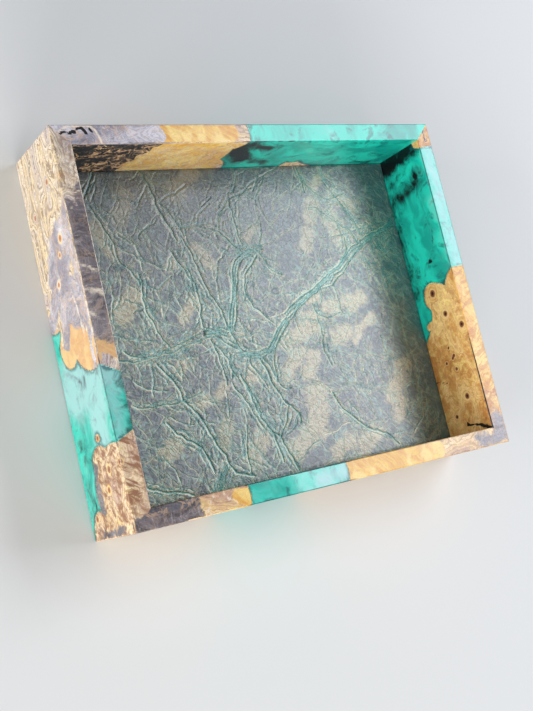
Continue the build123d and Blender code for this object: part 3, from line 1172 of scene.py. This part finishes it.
# Points of the creases, in millimetres from the well's left wall and from its back wall.
CREASES: dict[Crease, tuple[Line, ...]] = {
    Crease.BAND: (
        ((232, 36), (226, 42), (220, 45), (208, 50), (196, 55), (190, 58), (182, 64), (172, 70),
         (160, 76.5), (145, 84.5), (130, 93)),
        ((130, 96), (122, 103), (114, 111.5), (104, 113.5), (92, 112)),
        ((107, 51), (112, 52), (118, 51.5), (124, 50.5)),
        ((113, 53), (107, 56), (103, 60), (101, 66), (97.5, 78), (95, 85), (91, 98)),
        ((73, 96), (80, 97), (88, 99)), ((60, 184), (64, 178), (68, 172)),
    ),
    Crease.STRONG: (
        ((27, 0), (24, 6), (20.5, 11), (18, 15)),
        ((54.5, 0), (57.5, 6), (59.5, 13), (61, 22), (64, 30), (67, 36), (68.5, 42)),
        ((163, 0), (164, 8), (165.5, 17)), ((191, 27), (193, 31), (196, 35), (199, 40), (200, 47)),
        ((38, 143), (42, 149), (47, 154), (53, 158), (56, 161), (58, 167), (59.5, 174)),
        ((18, 175), (24, 177), (30, 179), (37, 181), (44, 183.5)),
        ((101, 158), (106.5, 162), (109, 168), (111, 174), (114, 183)),
        ((104, 113), (107, 122), (109, 128), (111, 135), (114, 141), (118, 146), (122, 150), (123, 154),
         (122, 157)),
        ((150, 143), (152, 149), (156, 154), (160, 159), (165, 164), (173, 170), (182, 173), (190, 182)),
        ((97, 39), (101, 43), (106, 49.5)),
        ((40, 111), (44, 116), (47, 122), (49, 126), (52, 134), (56, 140), (60, 147), (64, 159),
         (68, 165), (69.5, 172), (74, 177), (84, 181)),
        ((90, 124), (92, 132), (94, 140), (97, 147), (99, 152), (101.5, 158), (103, 163), (104, 170),
         (105, 176)),
    ),
    Crease.PLAIN: (
        ((20, 20), (23, 27), (26, 34), (28.7, 38.5), (30, 45), (31, 52), (36, 57), (39, 63), (40, 66)),
        ((63, 20), (67, 25), (71, 31), (72.5, 36), (74, 40)), ((73, 42), (75.5, 50), (77, 56), (79, 63)),
        ((63, 48), (66, 54), (69, 60), (71, 65), (72, 70)),
        ((72, 36), (78, 35), (84, 35.5), (90, 37), (97, 39)),
        ((40.5, 60), (41, 66), (40.3, 72), (40, 80), (42, 85), (45, 95), (50, 103)),
        ((18, 106), (26, 107), (36, 107), (44, 105), (52, 103), (60, 100), (68, 97.5), (72, 96)),
        ((22, 102), (30, 106), (40, 106.5), (48, 106), (56, 104), (66, 101), (76, 100)),
        ((71, 60), (72.5, 66), (74, 72), (74.5, 80), (73.5, 87), (73, 94)),
        ((78, 60), (79.5, 68), (82, 75), (85.5, 81), (87.5, 85), (88.5, 92), (90, 98)),
        ((80, 100), (85, 104), (92, 109), (98, 112)), ((78, 104), (82, 110), (85, 117), (84.5, 125)),
        ((76, 102), (78, 108), (80, 120), (80, 128)),
        ((84, 128), (88, 136), (92, 144), (95, 150), (98, 157)),
        ((90, 124), (93, 132), (96, 140), (98, 147)), ((86, 152), (84, 160), (82, 170), (82, 180)),
        ((119, 56), (113, 61), (110, 65), (108, 70), (106, 74), (106.5, 80), (109, 85), (113, 88),
         (120, 96)), ((98, 36), (99, 29), (104, 24), (109, 19), (118, 17), (122, 15)),
        ((109.5, 18), (109, 25), (109, 33), (111, 48)),
        ((196, 58), (190, 61), (180, 70), (168, 78), (156, 80.5), (144, 86), (134, 95), (124, 104),
         (116, 112)), ((151, 88), (152, 93), (156, 97), (164, 97.5), (170, 95.5)),
        ((152, 97), (152.5, 104), (151.5, 116), (154, 127)), ((90, 98), (92, 104), (95, 110), (103, 113)),
        ((98, 117), (101, 123), (104, 129), (106, 133)), ((116, 113), (114, 120), (113, 127), (112.5, 131)),
        ((117, 146), (114, 151), (110, 158), (107, 163)),
        ((165, 7), (168, 12), (172, 17), (176, 21), (183, 23), (191, 20), (196, 20)),
        ((180, 2), (182, 10), (184, 15), (186, 19), (190, 24), (191, 28)),
        ((166, 28), (171, 28), (175, 32), (182, 37), (188, 42), (193, 44), (197, 52)),
        ((184, 41), (186, 46), (188, 51), (186, 57), (180, 64)),
        ((209, 51), (211, 56), (214, 60), (217, 64)), ((220, 46), (228, 43), (233, 42)),
        ((112, 52), (117, 57)), ((120, 52), (123, 57), (125, 62), (130, 66), (134, 68)),
        ((20, 131), (30, 134), (38, 133), (46, 134), (52, 132), (62, 130)),
        ((86, 111), (84, 118), (88, 125)), ((105, 114), (109, 119), (112, 127), (116, 135), (121, 136)),
        ((88, 103), (94, 108), (99, 116)),
    ),
    Crease.FINE: (
        ((26.5, 8), (24, 13), (22, 17)), ((64, 18.5), (68, 17), (72, 15.5), (78, 12.5), (82, 10.5)),
        ((57, 9), (54.5, 14), (51.5, 17.5), (49.5, 21)), ((61, 7), (63, 3), (66, 2)),
        ((83, 34), (85, 29), (89, 26), (95, 22.5)), ((58.5, 30), (52, 33), (46, 38)),
        ((36, 15), (42, 17), (50, 19)), ((42, 44), (44, 50), (49, 55), (62, 60)),
        ((42, 65), (46, 68), (50, 69.5), (54, 67), (60, 63)),
        ((26, 108.5), (38, 110), (44, 108), (60, 106)), ((98, 72), (96, 80), (93, 88), (90, 100)),
        ((45, 148), (50, 153), (54, 157)), ((53, 137), (53.5, 141), (51.5, 146)), ((30, 181), (35, 183)),
        ((31, 160), (35, 167), (38, 173), (38, 180)), ((78, 131), (78, 138), (76, 145)),
        ((127.5, 36), (126.5, 42), (125, 47), (122, 51)), ((112, 16), (116, 10), (119, 4)),
        ((122, 15), (128, 10), (136, 7), (142, 4), (150, 1)),
        ((127, 38), (127, 30), (127, 22), (133, 13), (136, 10)),
        ((120, 78), (128, 80), (136, 81), (141, 81)), ((142, 80.5), (144, 83), (144, 86)),
        ((143, 97), (150, 99), (153, 98)), ((97.5, 91), (99, 95), (100.5, 100)), ((103, 92), (104, 97)),
        ((101, 97), (103, 102), (103, 106)), ((93, 148), (97, 153), (100, 158)),
        ((123, 152), (119, 157), (115, 160), (110, 163)), ((115, 179), (121, 176), (126, 172), (132, 169)),
        ((104, 133), (105, 137), (105, 141)), ((181, 6), (187, 11), (190, 13), (192, 18)),
        ((210, 50), (215, 57), (217, 62)), ((168, 62), (171, 68)),
        ((170, 78), (171, 84), (171, 92), (173, 97), (177, 97)), ((197, 112), (198, 135)),
        ((160, 150), (168, 163)), ((221, 158), (217, 170), (214, 180)),
        ((204, 176), (208, 172), (214, 168)), ((36, 110), (36, 116), (34, 128)),
        ((64, 150), (66, 160), (70, 170)), ((96, 118), (92, 126)), ((205, 44), (215, 41), (228, 38)),
        ((208, 47), (220, 42)), ((60, 178), (63, 170), (62, 160)), ((66, 184), (72, 176)),
        ((24, 118), (32, 124), (42, 126)), ((18, 92), (28, 96), (40, 98)),
    ),
    Crease.PALE: (
        ((21, 21), (27, 27), (29.5, 32), (30, 40), (31, 47), (30.5, 56), (29, 65)),
        ((70, 38), (71.5, 45), (73, 52), (73.5, 56)),
        ((33, 34), (38, 38), (42, 43), (43, 50), (44, 57), (46, 63)),
        ((49, 70), (49.3, 76), (49.5, 82), (50.5, 92)), ((88, 60), (88, 70), (87.5, 80)),
        ((20, 162), (28, 157), (34, 153), (42, 150)), ((60, 150), (63, 160), (68, 176), (70, 184)),
        ((116, 19), (114, 26), (112.5, 34), (110, 48)), ((138, 28), (141, 22), (148, 18.5), (152, 17)),
        ((132, 40), (138, 34), (143, 29), (150, 27)), ((130, 47), (138, 44.5), (146, 41), (152, 38)),
        ((139, 90), (132, 90.5), (127, 92.5), (119, 93)), ((138, 166), (146, 165), (152, 162), (158, 163)),
        ((141, 130), (144, 136), (150, 142)), ((205, 53), (206, 60), (209, 66), (213, 71), (216, 74)),
        ((197, 60), (198, 68), (201, 73), (205, 78), (210, 86), (213, 96)),
        ((177, 120), (178, 130), (179, 148)), ((176, 120), (172, 128), (170, 138), (170, 145)),
        ((206, 46), (218, 42), (231, 40)), ((75, 105), (88, 100), (92, 94)),
    ),
}

# Knots of many small creases: middle, spread, mean heading, how much that varies, and count.
TUFTS = (
    ((84, 101), (9, 5), 0.9, 1.6, 34), ((64, 177), (5, 6), 1.5, 0.5, 12),
    ((217, 44), (11, 4), 2.8, 0.4, 22), ((112, 52), (7, 5), 0.5, 1.2, 14),
    ((28, 60), (8, 14), 1.3, 0.5, 14), ((46, 108), (14, 3), 0.1, 0.5, 12),
    ((96, 140), (8, 14), 1.2, 0.4, 16), ((44, 138), (12, 10), 0.7, 0.9, 14),
    ((192, 42), (8, 10), 1.0, 0.5, 14), ((120, 10), (16, 7), 2.4, 0.7, 14),
    ((222, 166), (8, 12), 2.2, 0.4, 16), ((70, 60), (8, 20), 1.2, 0.3, 14),
    ((210, 62), (10, 8), 1.1, 0.4, 10),
)

# Worn, tan patches: the line that each lies along, and how far it spreads from it.
PATCHES: tuple[tuple[Line, float], ...] = (
    (((21, 33), (28, 46)), 5), (((74, 14), (88, 3)), 6), (((60, 58), (64, 55)), 2.5),
    (((27, 82), (34, 72)), 6), (((61, 87), (73, 78)), 3.5), (((36, 27), (43, 15)), 5),
    (((80, 48), (88, 58)), 4), (((115, 44), (122, 38)), 3), (((156, 52), (161, 43)), 4.5),
    (((164, 35), (169, 25)), 5), (((173, 15), (178, 10)), 3.5), (((186, 22), (196, 28)), 5),
    (((180, 36), (186, 48)), 7), (((127, 109), (148, 101)), 5), (((121, 128), (133, 117)), 5),
    (((136, 130), (143, 120)), 5), (((134, 160), (138, 142)), 8), (((114, 173), (130, 163)), 6),
    (((86, 172), (94, 162)), 6), (((142, 94), (153, 96)), 2.5), (((148, 85), (158, 84)), 2.5),
    (((160, 92), (168, 91)), 4), (((178, 90), (187, 88)), 5.5), (((181, 107), (194, 101)), 3.4),
    (((176, 114), (180, 110)), 3), (((162, 110), (172, 108)), 5),
    (((194, 152), (204, 140), (210, 134)), 5.5), (((196, 164), (200, 156)), 5),
    (((164, 178), (174, 172)), 6), (((144, 178), (154, 174)), 5), (((34, 159), (40, 156)), 5),
    (((59, 137), (64, 134)), 3.5), (((73, 133), (78, 129)), 3.5), (((94, 127), (101, 123)), 4),
    (((94, 106), (97, 101)), 2.5), (((68, 160), (74, 150)), 4), (((52, 117), (56, 112)), 3.5),
)


@dataclass
class LeatherLining:
    """The sheet of creased leather that covers the floor between the rails."""

    finish: LeatherFinish
    spacing: float = 0.72
    seed: int = 5
    hairs: int = 520
    sharp: float = 60.0

    def build(self) -> list[bpy.types.Object]:
        """Returns:
            The piece, in a list.
        """
        count_x = round(LEATHER_LENGTH / self.spacing) + 1
        count_y = round(LEATHER_WIDTH / self.spacing) + 1
        x = np.linspace(-LEATHER_LENGTH / 2, LEATHER_LENGTH / 2, count_x)
        y = np.linspace(-LEATHER_WIDTH / 2, LEATHER_WIDTH / 2, count_y)
        flat = np.stack(np.meshgrid(x, y), -1).reshape(-1, 2)
        fields = self.paint(flat)
        height = self.relief(flat, fields)
        surface = self.shell(flat, height, count_x, count_y)
        for label in fields:
            lower = np.zeros(len(surface.points) - len(flat))
            fields[label] = np.concatenate([fields[label], lower])
        piece = surface.build("creased_leather", fields, self.finish.material(), self.sharp)
        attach(piece, "root")
        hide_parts("leather_lining")
        return [piece]

    @staticmethod
    def wobble(flat: np.ndarray) -> np.ndarray:
        """Pushes points about a little, so that a crease drawn through them isn't smooth.

        Args:
            flat: The points, seen from above.

        Returns:
            The pushed points.
        """
        pushed = []
        for x, y in flat.tolist():
            slow = noise.noise_vector(Vector((x / 11, y / 11, 3.1)))
            quick = noise.noise_vector(Vector((x / 3.1, y / 3.1, 7.7)))
            pushed.append((x + slow.x * 0.9 + quick.x * 0.35, y + slow.y * 0.9 + quick.y * 0.35))
        return np.array(pushed)

    def paint(self, flat: np.ndarray) -> dict[str, np.ndarray]:
        """The fields that the leather's finish reads.

        Args:
            flat: The top's points, seen from above, in millimetres.

        Returns:
            For each name, a number at each point.
        """
        pushed = self.wobble(flat)
        where = np.stack([pushed[:, 0] - WELL_LEFT, WELL_BACK - pushed[:, 1]], 1)
        kinds = ("half", "dye", "core", "lip")
        fields = {name: np.zeros(len(flat)) for name in ("near", "patch", "hole", "valley", "ridge")}
        for group in ("main", "fine"):
            fields |= {f"{group}_{name}": np.zeros(len(flat)) for name in kinds}
            fields |= {f"{group}_{name}": np.full(len(flat), 9.0) for name in ("gap", "side")}
        for kind, line in self.creases():
            group, half, depth, dye, core, lip = kind.value
            reach = 0.8 + 2.6 * half
            box = (where > line.min(0) - 2 * reach).all(1) & (where < line.max(0) + 2 * reach).all(1)
            if not box.any():
                continue
            away, side = line_distance(where[box], line)
            spread = {
                "near": np.exp(-((away / reach) ** 2)) * min(1.0, 0.3 + depth),
                "valley": np.exp(-((away / (half + 0.2)) ** 2)) * depth,
                "ridge": np.exp(-(((away - half - 0.8) / 0.6) ** 2)) * depth,
            }
            for name, values in spread.items():
                fields[name][box] = np.maximum(fields[name][box], values)
            closer = away < fields[group + "_gap"][box]
            spots = np.flatnonzero(box)[closer]
            fields[group + "_gap"][spots] = away[closer]
            fields[group + "_side"][spots] = (away * side)[closer]
            for name, value in zip(kinds, (half, dye, core, lip)):
                fields[f"{group}_{name}"][spots] = value
        for points, reach in PATCHES:
            away, _ = line_distance(where, np.array(points, float))
            fields["patch"] = np.maximum(fields["patch"], np.clip(0.5 + (reach - away) / (reach * 1.1), 0, 1))
        # The hole is a long one. A painted shade, the right wall's shadow, runs along the right wall, and a
        # painted shade darkens the back left corner.
        away = np.sqrt((((flat - (WELL_LEFT + 72.8, WELL_BACK - 97.2)) * (1, 0.6)) ** 2).sum(1))
        fields["hole"] = np.clip(1.4 - away, 0, 1)
        fields["wall_shade"] = np.clip(1 - (-2 * WELL_LEFT - where[:, 0]) / 32, 0, 1)
        # Painted shade, darkest towards the back left corner, where the back rail shades the leather.
        from_corner = np.hypot((where[:, 0] - 60) / 1.8, where[:, 1] * 1.3)
        fields["corner_shade"] = np.clip(1.35 - from_corner / 85, 0, 1)
        return fields

    def creases(self) -> list[tuple[Crease, np.ndarray]]:
        """Every crease: the traced ones, the strands and twigs that follow them, tufts and loose hairs.

        Returns:
            The kind and the points of each.
        """
        chance = np.random.default_rng(self.seed)
        found = [(kind, self.crinkled(points, chance)) for kind, lines in CREASES.items() for points in lines]
        for kind, line in list(found):
            if kind not in STRANDS:
                continue
            steps = np.linalg.norm(np.diff(line, axis=0), axis=1)
            if kind is Crease.BAND:
                found += [(Crease.PLAIN, self.strand(line, chance, offset)) for offset in (-1.7, 1.5)]
            for _ in range(STRANDS[kind]):
                aside = chance.choice((-1, 1)) * chance.uniform(0.9, 3.2)
                found.append((Crease.STRAND, self.strand(line, chance, aside, True)))
            for _ in range(int(steps.sum() / TWIG_EVERY)):
                spot = chance.integers(0, len(line) - 1)
                heading = math.atan2(*(line[spot + 1] - line[spot])[::-1])
                heading += chance.choice((-1, 1)) * chance.uniform(0.3, 1.2)
                twig = self.walk(line[spot], heading, chance.uniform(3, 14), chance)
                found.append((Crease.STRAND if chance.random() < 0.35 else Crease.HAIR, twig))
        for middle, spread, heading, swerve, count in TUFTS:
            for _ in range(count):
                start = np.array(middle) + chance.normal(0, 1, 2) * spread
                length = chance.uniform(8, 26)
                turned = chance.normal(heading, swerve)
                kind = Crease.STRAND if chance.random() < 0.6 else Crease.HAIR
                found.append((kind, self.walk(start, turned, length, chance)))
        for _ in range(self.hairs):
            start = chance.uniform((0, 0), (232, 184))
            heading = chance.normal(1.1, 0.7)
            found.append((Crease.HAIR, self.walk(start, heading, chance.uniform(10, 40), chance)))
        return found

    @staticmethod
    def crinkled(points: Line, chance: np.random.Generator) -> np.ndarray:
        """Gives a traced line a small random kink about every 3 mm.

        Args:
            points: The line.
            chance: The source of the kinks.

        Returns:
            The kinked line's points.
        """
        line = rounded(points)
        run = np.concatenate([[0], np.cumsum(np.linalg.norm(np.diff(line, axis=0), axis=1))])
        places = np.linspace(0, run[-1], max(2, round(run[-1] / 3)) + 1)
        line = np.stack([np.interp(places, run, line[:, axis]) for axis in (0, 1)], 1)
        line[1:-1] += chance.normal(0, 0.3, (len(line) - 2, 2))
        return line

    @staticmethod
    def strand(line: np.ndarray, chance: np.random.Generator, aside: float, part: bool = False) -> np.ndarray:
        """Moves a line aside by an amount that swings to and fro.

        Args:
            line: The line's points.
            chance: The source of the swing.
            aside: The mean amount in millimetres, to the left where it is more than nought.
            part: Whether to take only a part of the line, by chance.

        Returns:
            The moved points.
        """
        if part:
            first = chance.integers(0, max(1, len(line) // 2))
            line = line[first : chance.integers(min(len(line) - 1, first + 3), len(line)) + 1]
        along = np.gradient(line, axis=0) if len(line) > 1 else np.ones_like(line)
        across = np.stack([-along[:, 1], along[:, 0]], 1)
        across /= np.linalg.norm(across, axis=1, keepdims=True) + 1e-9
        swing = np.sin(np.linspace(0, chance.uniform(4, 14), len(line)) + chance.uniform(0, 6))
        shift = aside + swing * chance.uniform(0.3, 0.9)
        return line + across * shift[:, None]

    @staticmethod
    def walk(start: np.ndarray, heading: float, length: float, chance: np.random.Generator) -> np.ndarray:
        """A line that wanders.

        Args:
            start: Its first point.
            heading: The direction that it sets out in.
            length: Its length in millimetres.
            chance: The source of its turns.

        Returns:
            Its points, a step apart.
        """
        turns = np.cumsum(chance.normal(0, 0.11, max(3, int(length / WANDER_STEP))))
        turns += chance.normal(0, 0.22, len(turns))
        steps = np.stack([np.cos(heading + turns), np.sin(heading + turns)], 1) * WANDER_STEP
        return np.vstack([start, start + np.cumsum(steps, axis=0)])

    @staticmethod
    def relief(flat: np.ndarray, fields: dict[str, np.ndarray]) -> np.ndarray:
        """How high the top is: creases sink in and the leather beside them swells.

        Args:
            flat: The top's points, seen from above.
            fields: Its fields, of which the valley and the ridge are taken out.

        Returns:
            The height of each point.
        """
        swell = np.array([noise.noise(Vector((x / 9, y / 9, 0.4))) for x, y in flat.tolist()])
        height = -0.3 + 0.08 * swell - 0.34 * fields.pop("valley") + 0.14 * fields.pop("ridge")
        height -= 0.5 * fields["hole"]
        rim = np.minimum(LEATHER_LENGTH / 2 - np.abs(flat[:, 0]), LEATHER_WIDTH / 2 - np.abs(flat[:, 1]))
        height -= 0.25 * np.clip(1 - rim / 1.5, 0, 1)
        return LEATHER_TOP + np.minimum(height, 0.0)

    @staticmethod
    def shell(flat: np.ndarray, height: np.ndarray, count_x: int, count_y: int) -> Surface:
        """Closes the top with straight edges down to a flat underside.

        Args:
            flat: The top's points, seen from above.
            height: The height of each.
            count_x: How many points a row has.
            count_y: How many rows there are.

        Returns:
            The closed shell.
        """
        index = np.arange(count_x * count_y).reshape(count_y, count_x)
        a, b = index[:-1, :-1].ravel(), index[:-1, 1:].ravel()
        c, d = index[1:, 1:].ravel(), index[1:, :-1].ravel()
        rim = np.concatenate([index[0, :], index[1:, -1], index[-1, -2::-1], index[-2:0:-1, 0]])
        foot = len(flat) + np.arange(len(rim))
        centre = len(flat) + len(rim)
        following, next_foot = np.roll(rim, -1), np.roll(foot, -1)
        top = np.column_stack([flat, height])
        low = np.column_stack([flat[rim], np.full(len(rim), LEATHER_UNDERSIDE)])
        triangles = np.vstack([
            np.stack([a, b, c], 1), np.stack([a, c, d], 1),
            np.stack([rim, foot, following], 1), np.stack([following, foot, next_foot], 1),
            np.stack([foot, np.full(len(rim), centre), next_foot], 1),
        ])
        return Surface(np.vstack([top, low, [[0, 0, LEATHER_UNDERSIDE]]]), triangles)


@dataclass(frozen=True)
class FloorPanel:
    """The plywood panel under the leather, which shows from below."""

    finish: PlywoodFinish

    def build(self) -> list[bpy.types.Object]:
        """Gives the CAD panel its finish.

        Returns:
            The panel, in a list.
        """
        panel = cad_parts["floor_panel"]
        panel.data.materials.clear()
        panel.data.materials.append(self.finish.material())
        return [panel]


@dataclass(frozen=True)
class Studio:
    """The camera, the lights and the plain floor."""

    place: tuple[float, float, float] = (-0.33085, -0.09413, 0.49978)
    aim: tuple[float, float, float] = (0.55055, 0.12135, -0.82593)
    roll: float = 66.37236
    lens: float = 51.685
    window: str = "#eef3ff"
    white: str = "#ffffff"
    surround: str = "#f4f8ff"
    paper: str = "#d9d9d6"
    far_paper: str = "#5f5f5e"

    def build(self) -> None:
        """Makes all of it."""
        self.camera()
        self.light("window_light", (0.66, 0.1, 0.74), 1.2, (0.9, 0.5), 10.5, self.window)
        self.light("left_fill", (-0.9, -0.15, 0.2), 1.5, (1.2, 0.7), 21.5, self.white)
        self.light("front_fill", (-0.2, -0.9, 0.26), 1.6, (1.2, 0.7), 21, self.white)
        self.world(self.surround, 0.27)
        self.floor()

    def camera(self) -> None:
        """The camera at the photograph's place."""
        data = bpy.data.cameras.new("camera")
        data.lens = self.lens
        data.clip_start = 0.01
        camera = bpy.data.objects.new("camera", data)
        turn = Vector(self.aim).to_track_quat("-Z", "Y") @ Quaternion((0, 0, 1), math.radians(self.roll))
        camera.matrix_world = Matrix.Translation(self.place) @ turn.to_matrix().to_4x4()
        bpy.context.scene.collection.objects.link(camera)
        bpy.context.scene.camera = camera

    @staticmethod
    def light(
        name: str, towards: tuple[float, float, float], distance: float, size: tuple[float, float],
        power: float, colour: str,
    ) -> None:
        """Hangs a soft, rectangular light that faces the tray.

        Args:
            name: Its name.
            towards: Its direction from the tray.
            distance: Its distance in metres.
            size: Its sides in metres.
            power: Its power in watts.
            colour: Its colour in sRGB hex.
        """
        data = bpy.data.lights.new(name, "AREA")
        data.shape = "RECTANGLE"
        data.size, data.size_y = size
        data.energy = power
        data.color = linear(colour)[:3]
        light = bpy.data.objects.new(name, data)
        away = Vector(towards).normalized()
        turn = away.to_track_quat("Z", "Y").to_matrix().to_4x4()
        light.matrix_world = Matrix.Translation(away * distance) @ turn
        bpy.context.scene.collection.objects.link(light)

    @staticmethod
    def world(colour: str, strength: float) -> None:
        """Makes an even, pale surround.

        Args:
            colour: Its colour in sRGB hex.
            strength: How bright it is.
        """
        world = bpy.data.worlds.new("studio")
        world.use_nodes = True
        tree = world.node_tree
        tree.nodes.clear()
        glow = node(tree, "Background", {"Color": colour, "Strength": strength})
        node(tree, "OutputWorld", {"Surface": glow})
        bpy.context.scene.world = world

    def floor(self) -> None:
        """A plain pale floor, darker far out, where the lights stand close to it."""
        mesh = bpy.data.meshes.new("studio_floor")
        # Just below the rails' feet, or the two would flicker where they meet.
        low = -0.1 * MM
        mesh.from_pydata([(-3, -3, low), (3, -3, low), (3, 3, low), (-3, 3, low)], [], [(0, 1, 2, 3)])
        g = Graph("matt_backdrop_paper")
        away = node(g.tree, "VectorMath", {0: g.place()}, "Value", operation="LENGTH")
        paper = g.layers(self.paper, (away.share(450, 1300), self.far_paper))
        mesh.materials.append(g.finish({"Base Color": paper, "Roughness": 0.9, "Specular IOR Level": 0.1}))
        floor = bpy.data.objects.new("studio_floor", mesh)
        bpy.context.scene.collection.objects.link(floor)


def report(pieces: list[bpy.types.Object]) -> None:
    """Logs each finished piece."""
    for piece in pieces:
        logging.info("%s: %d triangles", piece.name, len(piece.data.polygons))


def main() -> None:
    """Builds everything in order and reports each piece."""
    # Without a seed, the noise that pushes strokes and creases about starts from the clock.
    noise.seed_set(NOISE_SEED)
    burl = BurlFinish().material()
    resin = ResinFinish().material()
    for rail in RAILS:
        report(rail.build(burl, resin))
    report(FloorPanel(PlywoodFinish()).build())
    report(LeatherLining(LeatherFinish()).build())
    Studio().build()
    bpy.context.scene.view_settings.view_transform = "Standard"


if __name__ == "__main__":
    logging.basicConfig(level=logging.INFO, format="%(message)s")
    main()
